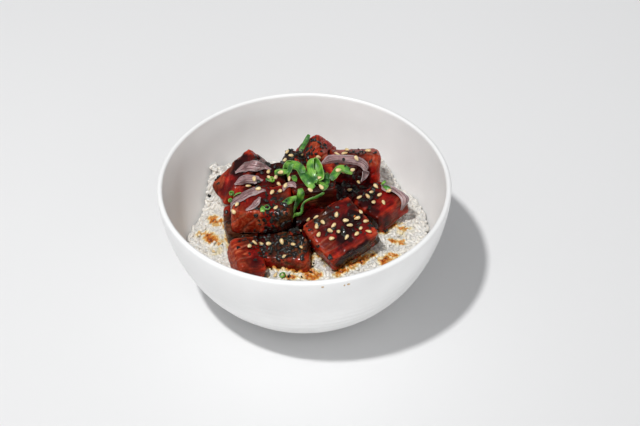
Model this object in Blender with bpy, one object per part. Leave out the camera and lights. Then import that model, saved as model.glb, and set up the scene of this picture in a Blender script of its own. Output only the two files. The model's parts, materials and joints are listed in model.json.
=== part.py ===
"""Poke bowl: a deep round bowl of cooked rice under a pile of cut raw tuna with onion and spring onion.

Metres, +Z up. The origin is the centre of the foot ring, on the surface that the bowl stands on.
"""
from math import cos, exp, pi, sin

import bmesh
import bpy
from mathutils import Euler, Vector, noise
from mathutils.bvhtree import BVHTree

MM = 0.001

# Driving dimensions of the bowl, in metres.
RIM_RADIUS = 75 * MM
RIM_HEIGHT = 68.7 * MM
FOOT_RADIUS = 36 * MM
FOOT_INNER_RADIUS = 31 * MM
FOOT_HEIGHT = 3 * MM
FOOT_RECESS = 2.2 * MM
FOOT_INNER_SLOPE = FOOT_RECESS / 3
FOOT_CHAMFER = 0.6 * MM
FOOT_CHAMFER_HEIGHT = 1.8 * MM
WALL = 2.8 * MM
# The wall's outline is a quarter of a superellipse: one power across, one power up.
WALL_POWER_ACROSS = 1.91
WALL_POWER_UP = 1.71
# A multiple of four, so that the bowl is as long along X as along Y.
BOWL_STEPS = 44
# Where the outline has its points, as shares of the way from the foot to the rim.
OUTER_TURNS = (0.03, 0.09, 0.17, 0.27, 0.4, 0.55, 0.7, 0.85, 1)
INNER_TURNS = (0.03, 0.15, 0.27, 0.4, 0.55, 0.7, 0.85, 1)
LIP_ANGLES = (pi / 4, pi / 2, 3 * pi / 4)
# Half the stretch of outline over which its direction is measured.
OUTLINE_STEP = 0.0005
MERGE_DISTANCE = 0.01 * MM
BOWL_COLOUR = (0.80, 0.80, 0.80)

# Touching pieces keep this gap.
GAP = 0.35 * MM

# The rice is a low heap: level plus mound high in the middle, and pressed up the wall to the heights
# below, given as (degrees round the bowl from +X, height in millimetres).
RICE_LEVEL = 39.5 * MM
RICE_MOUND = 4 * MM
RICE_MOUND_WIDTH = 24 * MM
RICE_EDGE = ((0, 37.5), (18, 36), (32, 33), (50, 41), (75, 36), (105, 31), (125, 36), (141, 43),
             (153, 28), (165, 27), (180, 30), (210, 32), (240, 34), (270, 35), (300, 36), (330, 37.5))
RICE_EDGE_SHARE = 0.5
RICE_UNEVEN = 1.0 * MM
RICE_UNEVEN_LENGTH = 9 * MM
RICE_GAP = 0.45 * MM
RICE_RINGS = 7
# Under its edge the rice follows the wall down through these points.
RICE_SIDE_TURNS = INNER_TURNS[2::-1]
RICE_COLOUR = (0.72, 0.66, 0.54)

# Tuna pieces: centre and size in millimetres, turns about X, Y and Z in degrees, and cells along a face.
# Each is cut back where it would run into one above it in this list.
TUNA = {
    "tuna_front_left": ((-21.3, -7.0, 55.4), (31, 21.5, 16.5), (4, -3, -2), 5),
    "tuna_middle": ((4, 6, 58), (25, 20, 17), (4, 3, 10), 4),
    "tuna_left": ((-31.0, 21.0, 50.3), (29, 16.5, 20), (3, -40, 26), 5),
    "tuna_slab": ((17.9, -19.5, 49.3), (29, 31, 11.5), (12, 12, -56), 5),
    "tuna_back_right": ((26.9, 29.4, 50.6), (27, 14, 19.5), (-20, 0, 1), 5),
    "tuna_right": ((39.8, 4.2, 46.4), (22, 22, 13), (12, -2, -50), 5),
    "tuna_back": ((6.5, 36, 53.8), (17, 16, 17), (6, 47, 10), 4),
    "tuna_back_left": ((-5, 26, 51.5), (17, 17, 17), (4, 29, 6), 4),
    "tuna_front": ((-11, -24.4, 42.2), (29, 22, 10), (5, -4, -11), 5),
    "tuna_front_corner": ((-29.3, -32.6, 43.4), (15, 22, 13), (8, 15, 17), 4),
    "tuna_top_left": ((-13, 12, 54), (25, 23, 16), (6, -2, 12), 3),
    "tuna_under_left": ((-31, -6, 43.5), (20.5, 22, 12), (0, 0, 8), 3),
    "tuna_under_middle": ((3, -5, 45.3), (31, 26, 15), (2, 0, 18), 3),
    "tuna_under_right": ((25, 11, 43), (27, 23, 14), (-3, 0, -8), 3),
}
TUNA_FILLET = 2.2 * MM
TUNA_UNEVEN = 1.1 * MM
TUNA_UNEVEN_LENGTH = 16 * MM
# How far apart in the noise the pieces, and the three directions of one piece, are read.
WOBBLE_PIECE_STEP = 7.3
WOBBLE_AXIS_STEP = 31.7
# On a cube of half size 1, a point beyond this lies on a face.
ON_FACE = 0.999
TUNA_COLOUR = (0.20, 0.020, 0.012)

# Slices that lie on the pile, in millimetres, each along hand-chosen points of its middle line.
# A slice lies flat on what is under it, unless its flat side is said to face a given way, or its width
# to run across a given way.
ONION = {
    "onion_back_right": {"width": 3.2, "across": (0, -0.5, -0.9), "points": (
        (8.5, 11.8, 68.2), (14, 17.6, 67.4), (20.2, 19.2, 66), (27, 20.6, 64),
        (31.4, 21.6, 60.6), (33, 21, 57.3), (32.4, 19.6, 54.6), (29.8, 15.6, 53.2))},
    "onion_right": {"width": 4.2, "points": (
        (40.5, 13.5, 55.6), (45, 10.6, 56.6), (48.6, 7.8, 56.8), (52, 3.4, 55.8), (53.6, -0.6, 52.6),
        (51.8, -3.4, 48))},
    "onion_left_upper": {"width": 4.4, "points": (
        (-37, 18, 59), (-32, 18.4, 62.4), (-27.5, 17, 64.6), (-23.4, 15.8, 64), (-19, 16, 63))},
    "onion_left_lower": {"width": 3.2, "points": (
        (-37.5, 11, 57), (-32, 10, 60.5), (-27, 8, 62.5), (-21.2, 7.4, 63))},
    "onion_front_left": {"width": 3.6, "points": (
        (-36.6, -13.5, 59), (-35.2, -8.6, 63), (-30, -4.6, 64.4), (-24.6, -2.6, 64.8), (-19.5, -2.4, 64.8))},
    "onion_front_left_inner": {"width": 2.6, "points": (
        (-29.5, -16.4, 63.6), (-25.5, -12.2, 64), (-22.4, -6.8, 64.6))},
    "onion_middle": {"width": 2.4, "points": (
        (-10.8, -4.4, 65), (-9.6, 0.4, 65.4), (-5.8, -0.8, 67.4), (-4.3, -4.6, 67))},
}
ONION_THICKNESS = 1.1 * MM
SPRING_ONION = {
    "spring_onion_ribbon": {"width": 3.4, "facing": (0, -0.6, 0.8), "points": (
        (-9.4, 13.6, 66.6), (-5.5, 11.8, 69), (-2.2, 8.6, 69.6), (-0.6, 4, 69), (1.7, -1, 68),
        (4.8, -4.4, 66.6))},
    "spring_onion_loop": {"width": 2.8, "across": (0.35, -0.6, 0.72), "points": (
        (6.2, -2.6, 69), (3.8, 2, 70.4), (2.8, 6, 71.6), (3, 10, 73), (4.5, 11.4, 73.6),
        (6.3, 9.6, 72.4), (7.6, 6.2, 70.8), (8.3, 2.8, 69.6), (8.8, -0.8, 68.8))},
    "spring_onion_curve": {"width": 2.4, "points": (
        (9.9, 7.4, 67.4), (12, 4.4, 67), (11.4, -0.8, 66.4), (8.8, -4.4, 65.2))},
    "spring_onion_tuft": {"width": 3.0, "facing": (0, -0.6, 0.8), "points": (
        (13.4, 1.4, 67), (16.2, 5.4, 68.2), (18.4, 9.6, 68.6), (21.6, 9.6, 67), (25, 9.4, 64.6))},
    "spring_onion_leaf": {"width": 3.2, "points": (
        (-2.3, -4.8, 67), (-1.6, -7.2, 62.5), (-2.7, -7.6, 57.5), (-3.9, -10.2, 54.2))},
    "spring_onion_side": {"width": 2.9, "points": (
        (-11.4, -13.4, 64.4), (-7.4, -10.6, 64), (-4, -8.6, 63))},
    "spring_onion_strand": {"width": 1.4, "points": (
        (10.6, -4.4, 63), (6.4, -6, 60.5), (1.8, -8.6, 58.4), (-1.4, -10.4, 55.8), (-4.2, -13.4, 54.4))},
    "spring_onion_back": {"width": 1.9, "facing": (0, -0.7, 0.7), "points": (
        (2.7, 39.4, 66.6), (1.4, 36.6, 64.4), (-0.8, 33.6, 63.2), (-2, 30.2, 61.4))},
    "spring_onion_left": {"width": 2.4, "facing": (0, -0.5, 0.85), "points": (
        (-15.5, 11.6, 64), (-11.5, 10.8, 65), (-8, 8.4, 66.8))},
}
SPRING_ONION_THICKNESS = 0.8 * MM
STRIP_SPACING = 2.4 * MM
NORMAL_ROUNDS = 4
SETTLE_ROUNDS = 4
FINAL_ROUNDS = 14
# Where a strip is tested against what is under it, as shares of a section's width and of the way to the next.
PROBES_ACROSS = (0, 0.25, 0.5, 0.75, 1)
PROBES_ALONG = (0, 1 / 3, 2 / 3)
ONION_COLOUR = (0.34, 0.20, 0.24)
SPRING_ONION_COLOUR = (0.12, 0.36, 0.05)


def clear_scene():
    for obj in list(bpy.data.objects):
        bpy.data.objects.remove(obj, do_unlink=True)


def material(name, colour, roughness):
    mat = bpy.data.materials.new(name)
    mat.use_nodes = True
    shader = mat.node_tree.nodes["Principled BSDF"]
    shader.inputs["Base Color"].default_value = (*colour, 1)
    shader.inputs["Roughness"].default_value = roughness
    mat.diffuse_color = (*colour, 1)
    return mat


def add_object(name, mesh, mat):
    obj = bpy.data.objects.new(name, mesh)
    bpy.context.scene.collection.objects.link(obj)
    if mat:
        mesh.materials.append(mat)
    return obj


# ---- bowl -----------------------------------------------------------------------------------

def wall_outline(turn):
    """A point (radius, height) of the outer wall, from the foot (turn 0) to the rim (turn 1)."""
    angle = turn * pi / 2
    across = sin(angle) ** (2 / WALL_POWER_ACROSS)
    up = 1 - max(cos(angle), 0) ** (2 / WALL_POWER_UP)
    radius = FOOT_RADIUS + (RIM_RADIUS - FOOT_RADIUS) * across
    height = FOOT_HEIGHT + (RIM_HEIGHT - WALL / 2 - FOOT_HEIGHT) * up
    return radius, height


def wall_inset(turn, depth):
    """The same point moved into the wall by a depth, square to the wall."""
    low = wall_outline(max(turn - OUTLINE_STEP, 0))
    high = wall_outline(min(turn + OUTLINE_STEP, 1))
    along = Vector((high[0] - low[0], high[1] - low[1])).normalized()
    radius, height = wall_outline(turn)
    return radius - along.y * depth, height + along.x * depth


def inner_radius(height):
    """Radius of the bowl's inside at a height, along its straight facets."""
    points = [wall_inset(turn, WALL) for turn in INNER_TURNS]
    for (low_radius, low), (high_radius, high) in zip(points, points[1:]):
        if low <= height <= high:
            return low_radius + (high_radius - low_radius) * (height - low) / (high - low)


def bowl_profile():
    """Closed outline from the axis under the bowl, up the outer side, over the lip and down inside."""
    outer = [wall_outline(t) for t in OUTER_TURNS]
    inner = [wall_inset(t, WALL) for t in INNER_TURNS[::-1]]
    lip_radius = RIM_RADIUS - WALL / 2
    lip_height = outer[-1][1]
    lip = [(lip_radius + WALL / 2 * cos(a), lip_height + WALL / 2 * sin(a))
           for a in LIP_ANGLES]
    foot = [(0, FOOT_RECESS), (FOOT_INNER_RADIUS, FOOT_RECESS), (FOOT_INNER_RADIUS + FOOT_INNER_SLOPE, 0),
            (FOOT_RADIUS - FOOT_CHAMFER, 0), (FOOT_RADIUS, FOOT_CHAMFER_HEIGHT)]
    floor = [(0, inner[-1][1])]
    return foot + outer + lip + inner + floor


def build_bowl():
    """Turn the outline once round the vertical axis."""
    profile = bowl_profile()
    profile.reverse()
    mesh = bpy.data.meshes.new("bowl")
    mesh.from_pydata([(r, 0, z) for r, z in profile], [(i, i + 1) for i in range(len(profile) - 1)], [])
    obj = add_object("bowl", mesh, material("bowl_white", BOWL_COLOUR, 0.35))
    turn = obj.modifiers.new("Turn", "SCREW")
    turn.axis = "Z"
    turn.steps = turn.render_steps = BOWL_STEPS
    turn.use_merge_vertices = True
    turn.merge_threshold = MERGE_DISTANCE
    turn.use_smooth_shade = True
    return obj


# ---- rice -----------------------------------------------------------------------------------

def smooth(share):
    share = min(max(share, 0), 1)
    return share * share * (3 - 2 * share)


def rice_edge_height(angle):
    """Height of the rice where it meets the wall, eased from one given height to the next."""
    degrees = angle * 180 / pi % 360
    ring = (*RICE_EDGE, (360, RICE_EDGE[0][1]))
    for (start, low), (end, high) in zip(ring, ring[1:]):
        if start <= degrees <= end:
            return (low + (high - low) * smooth((degrees - start) / (end - start))) * MM


def rice_height(x, y, angle, share):
    """Top of the rice at a share of the way from the middle to the wall."""
    spread = (x * x + y * y) / (2 * RICE_MOUND_WIDTH ** 2)
    wave = RICE_UNEVEN * noise.noise(Vector((x, y, 0)) / RICE_UNEVEN_LENGTH)
    level = RICE_LEVEL + RICE_MOUND * exp(-spread) + wave
    edge = smooth((share - RICE_EDGE_SHARE) / (1 - RICE_EDGE_SHARE))
    return level + (rice_edge_height(angle) - level) * edge


def build_rice():
    """A filling that follows the bowl's inside and has an uneven top."""
    bm = bmesh.new()
    angles = [2 * pi * i / BOWL_STEPS for i in range(BOWL_STEPS)]
    rings = []
    for ring in range(1, RICE_RINGS + 1):
        share = ring / RICE_RINGS
        points = []
        for angle in angles:
            edge = inner_radius(rice_edge_height(angle)) - RICE_GAP
            x, y = edge * share * cos(angle), edge * share * sin(angle)
            points.append(bm.verts.new((x, y, rice_height(x, y, angle, share))))
        rings.append(points)
    for turn in RICE_SIDE_TURNS:
        radius, height = wall_inset(turn, WALL + RICE_GAP)
        rings.append([bm.verts.new((radius * cos(a), radius * sin(a), height)) for a in angles])
    top = bm.verts.new((0, 0, rice_height(0, 0, 0, 0)))
    bottom = bm.verts.new((0, 0, rings[-1][0].co.z))
    for i in range(BOWL_STEPS):
        j = (i + 1) % BOWL_STEPS
        bm.faces.new((top, rings[0][i], rings[0][j]))
        for upper, lower in zip(rings, rings[1:]):
            bm.faces.new((upper[i], lower[i], lower[j], upper[j]))
        bm.faces.new((bottom, rings[-1][j], rings[-1][i]))
    mesh = bpy.data.meshes.new("rice")
    bm.to_mesh(mesh)
    bm.free()
    return add_object("rice", mesh, material("rice_white", RICE_COLOUR, 0.5))


# ---- tuna -----------------------------------------------------------------------------------

def wobble(point, seed):
    """A smooth, repeatable shift that differs from piece to piece."""
    starts = [Vector((WOBBLE_PIECE_STEP * seed, WOBBLE_AXIS_STEP * axis, 0)) for axis in range(3)]
    return Vector([noise.noise(point + start) for start in starts])


def block_mesh(name, size, cells, grow, seed):
    """A block with rounded edges and hand-cut, uneven faces, swollen by a distance."""
    half = Vector(size) / 2 + Vector((grow, grow, grow))
    fillet = TUNA_FILLET + grow
    bm = bmesh.new()
    bmesh.ops.create_cube(bm, size=2)
    bmesh.ops.subdivide_edges(bm, edges=bm.edges[:], cuts=cells - 1, use_grid_fill=True)
    first_line = 1 - 2 / cells
    for vert in bm.verts:
        core = half - Vector((fillet, fillet, fillet))
        point = Vector()
        for axis in range(3):
            share = vert.co[axis]
            if abs(share) > ON_FACE:
                point[axis] = half[axis] * (1 if share > 0 else -1)
            else:
                point[axis] = core[axis] * share / first_line
        inner = Vector([max(-core[a], min(core[a], point[a])) for a in range(3)])
        outward = point - inner
        point = inner + outward.normalized() * fillet
        vert.co = point + wobble(inner / TUNA_UNEVEN_LENGTH, seed) * TUNA_UNEVEN
    mesh = bpy.data.meshes.new(name)
    bm.to_mesh(mesh)
    bm.free()
    return mesh


def place(obj, centre, turns):
    obj.location = Vector(centre) * MM
    obj.rotation_euler = Euler([t * pi / 180 for t in turns])


def build_tuna():
    """All the pieces, with a swollen hidden copy of each that cuts what lies under it."""
    pieces, cutters = {}, {}
    red = material("tuna_red", TUNA_COLOUR, 0.25)
    for seed, (name, (centre, size, turns, cells)) in enumerate(TUNA.items()):
        size = [s * MM for s in size]
        pieces[name] = add_object(name, block_mesh(name, size, cells, 0, seed), red)
        cutters[name] = add_object(name + "_cutter", block_mesh(name, size, cells, GAP, seed), None)
        for obj in (pieces[name], cutters[name]):
            place(obj, centre, turns)
        cutters[name].hide_render = True
        cutters[name].display_type = "WIRE"
    return pieces, cutters


def box_of(obj):
    corners = [obj.matrix_world @ Vector(c) for c in obj.bound_box]
    low = Vector([min(c[a] for c in corners) for a in range(3)])
    high = Vector([max(c[a] for c in corners) for a in range(3)])
    return low, high


def near(a, b):
    (low_a, high_a), (low_b, high_b) = box_of(a), box_of(b)
    return all(low_a[i] < high_b[i] and low_b[i] < high_a[i] for i in range(3))


def cut(obj, cutter):
    if near(obj, cutter):
        boolean = obj.modifiers.new("Cut " + cutter.name, "BOOLEAN")
        boolean.operation = "DIFFERENCE"
        boolean.solver = "MANIFOLD"
        boolean.object = cutter


def cut_pile(rice, pieces, cutters):
    names = list(pieces)
    for i, name in enumerate(names):
        for above in names[:i]:
            cut(pieces[name], cutters[above])
        cut(rice, cutters[name])


# ---- onion and spring onion -----------------------------------------------------------------

def smooth_line(points):
    """A smooth line through the points, as a list of evenly spaced places."""
    points = [Vector(p) * MM for p in points]
    ends = [2 * points[0] - points[1], *points, 2 * points[-1] - points[-2]]
    line = []
    for before, start, end, after in zip(ends, ends[1:], ends[2:], ends[3:]):
        count = max(1, round((end - start).length / STRIP_SPACING))
        for i in range(count):
            t = i / count
            line.append(0.5 * (2 * start + (end - before) * t
                               + (2 * before - 5 * start + 4 * end - after) * t ** 2
                               + (3 * start - before - 3 * end + after) * t ** 3))
    return line + [points[-1]]


def surface_of(objects):
    """One search tree over the finished surfaces of some objects."""
    depsgraph = bpy.context.evaluated_depsgraph_get()
    points, faces = [], []
    for obj in objects:
        evaluated = obj.evaluated_get(depsgraph)
        mesh = evaluated.to_mesh()
        mesh.calc_loop_triangles()
        first = len(points)
        points += [evaluated.matrix_world @ v.co for v in mesh.vertices]
        faces += [[first + i for i in t.vertices] for t in mesh.loop_triangles]
        evaluated.to_mesh_clear()
    return BVHTree.FromPolygons(points, faces)


def clearance_push(place_, ground):
    """The move that brings a place a gap clear of the ground, or None."""
    hit, normal, _, distance = ground.find_nearest(place_)
    if (place_ - hit).dot(normal) < 0:
        return normal * (distance + GAP)
    if distance < GAP:
        return (place_ - hit).normalized() * (GAP - distance)
    return None


def averaged(values):
    """Each value mixed with its neighbours."""
    ends = [values[0], *values, values[-1]]
    return [(before + 2 * value + after) / 4 for before, value, after in zip(ends, values, ends[2:])]


def strip_sections(line, strip, ground):
    """Four corners of the strip at each place of its line."""
    normals = [ground.find_nearest(centre)[1] for centre in line]
    for _ in range(NORMAL_ROUNDS):
        normals = averaged(normals)
    sections = []
    for i, (centre, normal) in enumerate(zip(line, normals)):
        along = (line[min(i + 1, len(line) - 1)] - line[max(i - 1, 0)]).normalized()
        side = along.cross(Vector(strip.get("facing", normal)))
        if "across" in strip:
            side = Vector(strip["across"])
        side = (side - along * side.dot(along)).normalized() * strip["width"] * MM / 2
        up = along.cross(side).normalized() * strip["thickness"] / 2
        sections.append([centre - side - up, centre + side - up, centre + side + up, centre - side + up])
    return sections


def section_push(sections, i, ground):
    """The longest move that any spot of the strip's two flat sides needs, in or beside a section."""
    low_left, low_right, high_right, high_left = range(4)
    best = Vector()
    for other in (sections[max(i - 1, 0)], sections[min(i + 1, len(sections) - 1)]):
        for toward in PROBES_ALONG:
            corners = [a.lerp(b, toward) for a, b in zip(sections[i], other)]
            for start, end in ((low_left, low_right), (high_left, high_right)):
                for share in PROBES_ACROSS:
                    push = clearance_push(corners[start].lerp(corners[end], share), ground)
                    if push and push.length > best.length:
                        best = push
    return best


def settle(line, strip, ground):
    """Lift the line off the ground wherever the strip's body would touch it, and keep it smooth."""
    for turn in range(SETTLE_ROUNDS + FINAL_ROUNDS):
        sections = strip_sections(line, strip, ground)
        pushes = [section_push(sections, i, ground) for i in range(len(line))]
        line = [point + push for point, push in zip(line, pushes)]
        if turn < SETTLE_ROUNDS:
            line = [line[0], *averaged(line)[1:-1], line[-1]]
    return strip_sections(line, strip, ground)


def strip_object(name, strip, mat, ground):
    sections = settle(smooth_line(strip["points"]), strip, ground)
    bm = bmesh.new()
    rings = [[bm.verts.new(corner) for corner in corners] for corners in sections]
    for start, end in zip(rings, rings[1:]):
        for i in range(4):
            j = (i + 1) % 4
            bm.faces.new((start[i], start[j], end[j], end[i]))
    bm.faces.new(rings[0][::-1])
    bm.faces.new(rings[-1])
    bmesh.ops.recalc_face_normals(bm, faces=bm.faces)
    mesh = bpy.data.meshes.new(name)
    bm.to_mesh(mesh)
    bm.free()
    return add_object(name, mesh, mat)


def build_strips(solids):
    """Lay each slice on the pile and on the slices laid before it."""
    purple = material("onion_purple", ONION_COLOUR, 0.3)
    green = material("spring_onion_green", SPRING_ONION_COLOUR, 0.35)
    kinds = ((ONION, ONION_THICKNESS, purple), (SPRING_ONION, SPRING_ONION_THICKNESS, green))
    for strips, thickness, mat in kinds:
        for name, strip in strips.items():
            strip = {**strip, "thickness": thickness}
            solids.append(strip_object(name, strip, mat, surface_of(solids)))
            bpy.context.view_layer.update()


def main():
    clear_scene()
    bowl = build_bowl()
    rice = build_rice()
    pieces, cutters = build_tuna()
    bpy.context.view_layer.update()
    cut_pile(rice, pieces, cutters)
    build_strips([bowl, rice, *pieces.values()])


main()
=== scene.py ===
"""The looks of a poke bowl: a white bowl of rice under sauced raw tuna, onion, spring onion and seeds.

Metres, +Z up. The bowl stands on z = 0 and its axis is the Z axis. The shown side faces -Y.
"""
import json
import random
from math import cos, exp, pi, radians, sin

import bmesh
import bpy
import numpy as np
from bpy.props import FloatProperty, FloatVectorProperty, IntProperty, PointerProperty
from mathutils import Euler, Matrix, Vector, noise
from mathutils.bvhtree import BVHTree

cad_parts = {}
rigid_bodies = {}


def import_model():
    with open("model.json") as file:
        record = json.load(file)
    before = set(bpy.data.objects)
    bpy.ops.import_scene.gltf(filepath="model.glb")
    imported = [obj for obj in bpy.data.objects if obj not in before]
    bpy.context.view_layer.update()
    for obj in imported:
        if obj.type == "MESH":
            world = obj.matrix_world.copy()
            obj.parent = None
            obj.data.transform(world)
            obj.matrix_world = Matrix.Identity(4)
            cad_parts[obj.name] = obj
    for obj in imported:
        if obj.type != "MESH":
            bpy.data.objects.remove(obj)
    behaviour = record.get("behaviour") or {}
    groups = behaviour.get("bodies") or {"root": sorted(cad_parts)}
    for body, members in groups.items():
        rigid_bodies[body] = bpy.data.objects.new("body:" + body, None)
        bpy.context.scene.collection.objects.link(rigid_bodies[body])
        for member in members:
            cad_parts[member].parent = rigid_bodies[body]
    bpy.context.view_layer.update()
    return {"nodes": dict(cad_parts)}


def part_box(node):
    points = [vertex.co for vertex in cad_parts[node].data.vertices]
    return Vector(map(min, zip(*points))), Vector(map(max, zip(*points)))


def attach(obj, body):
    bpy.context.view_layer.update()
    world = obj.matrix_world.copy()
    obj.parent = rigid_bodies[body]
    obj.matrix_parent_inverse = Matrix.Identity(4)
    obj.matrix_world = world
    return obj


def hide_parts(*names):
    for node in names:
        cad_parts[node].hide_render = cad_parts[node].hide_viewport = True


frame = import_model()

bl_info = {
    "name": "Poke Bowl",
    "version": (1, 0, 0),
    "blender": (4, 5, 0),
    "location": "3D View > Sidebar > Poke Bowl",
    "description": "Builds the bowl, rice, tuna and toppings over their fixed frame",
    "category": "Object",
}

MM = 0.001
BODY = "root"
FAR = 10.0
UP = Vector((0, 0, 1))
DOWN = Vector((0, 0, -1))
OVERHEAD = 0.1

# Bowl: the outline is the solid bowl's, with more points and faint turning rings.
RIM_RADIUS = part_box("bowl")[1].x
RIM_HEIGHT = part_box("bowl")[1].z
FOOT_RADIUS = 36 * MM
FOOT_INNER_RADIUS = 31 * MM
FOOT_HEIGHT = 3 * MM
FOOT_RECESS = 2.2 * MM
FOOT_CHAMFER = 0.6 * MM
FOOT_CHAMFER_HEIGHT = 1.8 * MM
WALL = 2.8 * MM
WALL_POWER_ACROSS = 1.91
WALL_POWER_UP = 1.71
WALL_FIRST_TURN = 0.03
BOWL_SEGMENTS = 192
OUTER_POINTS = 110
INNER_POINTS = 40
LIP_POINTS = 7
OUTLINE_STEP = 0.0005
TURNING_RING_DEPTH = 0.2 * MM
TURNING_RING_LENGTH = 4.5 * MM
TURNING_RING_TOP = 54 * MM
TURNING_RING_FADE = 20 * MM

# Rice: the core is the solid sunk by this much, with loose grains over it.
RICE_CORE_SINK = 0.8 * MM
# Grains this near to the fish are left out: beside it, and where it lies over them.
BESIDE_FISH = 0.6 * MM
UNDER_FISH = 1.3 * MM
GRAIN_WIDTH = 2.3 * MM
GRAIN_RINGS = 5
GRAIN_SIDES = 6
GRAIN_BLUNT = 0.55
# Each layer of grains: how deep it lies and how far apart its grains are, in millimetres.
GRAIN_LAYERS = ((-0.2, 2.4), (0.35, 2.25))
GRAIN_THROWS = 26000
GRAIN_FIELD = 68 * MM
GRAIN_DROP = 90 * MM
GRAIN_WALL_GAP = 0.2 * MM
STEEPEST_RICE = 0.3
RICE_VOXEL = 1.3 * MM
STAIN_FADE = 1.8
SOAKED_REACH = 2.4 * MM
SOAKED_LENGTH = 5 * MM
STREAK_LENGTH = 5.2 * MM
STREAK_WIDTH = 2.0 * MM

# Tuna.
TUNA_VOXEL = 0.62 * MM
FIBRE_DEPTH = 0.14 * MM
FIBRE_LENGTH = 7 * MM
FIBRE_WIDTH = 1.1 * MM
LUMP_DEPTH = 0.55 * MM
LUMP_LENGTH = 8 * MM
SAG_DEPTH = 1.5 * MM
SAG_LENGTH = 17 * MM
SINK = 0.25 * MM
TORN_DEPTH = 1.3 * MM
TORN_LENGTH = 3.6 * MM
LAYER = 6.2 * MM
LAYER_WAVE = 0.55
LAYER_WAVE_LENGTH = 12 * MM
GROOVE = 0.10
GROOVE_DEPTH = 0.38 * MM
TUNA_NODES = sorted(name for name in frame["nodes"] if name.startswith("tuna_"))
# Which way the flesh's fibres run, as degrees about Z and tilt out of level, on each piece.
FIBRE_TURN = {
    "tuna_front_left": (80, 10), "tuna_middle": (20, 0), "tuna_left": (60, 50), "tuna_slab": (35, 10),
    "tuna_back_right": (85, 20), "tuna_right": (40, 5), "tuna_back": (30, 40), "tuna_back_left": (0, 20),
    "tuna_front": (70, 0), "tuna_front_corner": (20, 15), "tuna_top_left": (10, 0),
    "tuna_under_left": (0, 0), "tuna_under_middle": (30, 0), "tuna_under_right": (60, 0),
}
# Where soy has pooled, where the flesh is pale, and where seasoning has browned it: millimetres, then reach
# and strength. A few soy patches are partly painted shade, and a few pale ones partly a painted highlight.
TUNA_PATCHES = {
    "tuna_left": {"soy": ((-34, 22, 60, 7, 1.0), (-26, 20, 61, 7, 0.8), (-47, 17, 48, 4, 0.8),
                          (-42, 12, 54, 6, 0.45)),
                  "pale": ((-42, 26, 58, 6, 0.9), (-46, 20, 53, 6, 0.7), (-37, 30, 61, 5, 0.8)),
                  "brown": ((-20, 24, 56, 7, 0.6),)},
    # The last three soy patches of the front-left piece darken its lower edge: partly soy, partly painted
    # shade where it meets the pile.
    "tuna_front_left": {"soy": ((-16, -8, 64, 6, 0.6), (-24, 0, 64, 7, 0.7), (-28, -17, 48, 5, 0.9),
                                (-16, -18, 49, 5, 1.0), (-8, -18, 51, 5, 0.9)),
                        "pale": ((-29, -18, 56, 9, 0.8), (-21, -14, 63, 3, 0.6), (-35, -14, 58, 6, 0.6)),
                        "brown": ((-8, -17, 56, 9, 1.0), (-12, -8, 64, 5, 0.7))},
    "tuna_slab": {"soy": ((24, -17, 57, 6, 1.0), (20, -26, 54, 5, 1.0), (16, -12, 58, 6, 0.8),
                          (24, -37, 45, 8, 1.0), (32, -31, 47, 8, 1.0), (38, -22, 48, 6, 1.0),
                          (10, -22, 54, 4, 0.7), (25, -8, 58, 4, 0.8)),
                  # The slab's first two pale patches, on its lower left ridge, are partly paler flesh and
                  # partly a painted highlight.
                  "pale": ((10, -31, 50, 6, 0.45), (2, -22, 54, 5, 0.5), (31, -13, 57, 4, 0.4),
                           (37, -24, 55, 3, 0.5)),
                  "brown": ((8, -12, 57, 7, 0.9),)},
    "tuna_right": {"soy": ((32, 4, 51, 7, 1.0), (34, -7, 47, 7, 0.9), (42, -8, 47, 5, 0.5)),
                   "pale": ((51, 2, 53, 4, 0.25),),
                   "brown": ((52, 4, 50, 6, 0.7), (48, -6, 46, 5, 0.5))},
    "tuna_back_right": {"soy": ((26, 27, 59, 8, 0.8), (28, 21, 54, 8, 0.8)),
                        "pale": ((37, 30, 60, 8, 0.8), (24, 34, 60, 6, 0.6)),
                        "brown": ((18, 24, 56, 5, 0.5),)},
    "tuna_back": {"pale": ((6, 30, 61, 9, 0.75),), "brown": ((-1, 42, 60, 5, 0.9),)},
    "tuna_back_left": {"soy": ((-6, 26, 60, 9, 0.7),), "brown": ((-9, 32, 60, 9, 0.9),)},
    "tuna_middle": {"soy": ((2, 2, 67, 12, 0.9), (14, 0, 60, 8, 0.8)), "brown": ((8, -4, 60, 8, 0.9),)},
    "tuna_front": {"soy": ((-14, -30, 47, 4, 0.6), (-22, -18, 48, 8, 0.9)), "pale": ((0, -36, 44, 5, 0.5),),
                   "brown": ((-8, -24, 48, 13, 1.0),)},
    "tuna_front_corner": {"soy": ((-25, -40, 50, 4, 0.7), (-22, -30, 48, 5, 0.6)),
                          "pale": ((-36, -30, 46, 8, 0.9), (-34, -38, 46, 7, 0.8)),
                          "brown": ((-28, -24, 50, 5, 0.6),)},
    "tuna_top_left": {"soy": ((-14, 10, 62, 14, 0.9),), "brown": ((-16, 14, 60, 8, 0.6),)},
    "tuna_under_left": {"soy": ((-34, -6, 50, 8, 0.7),), "brown": ((-38, -14, 46, 12, 1.0),)},
    "tuna_under_middle": {"soy": ((0, -10, 50, 14, 1.0),)},
    "tuna_under_right": {"soy": ((26, 12, 50, 14, 1.0),)},
}
PAINTS = ("soy", "pale", "brown")
PAINT_RAGGED = 0.45
PAINT_RAGGED_LENGTH = 3.2 * MM
OUT_MOST = 0.5 * MM
EDGE_ROUNDS = 14
EDGE_SCALE = 0.30 * MM
SOY_ON_TOPS = 0.55
SOY_RUN_LENGTH = 6 * MM

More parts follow.
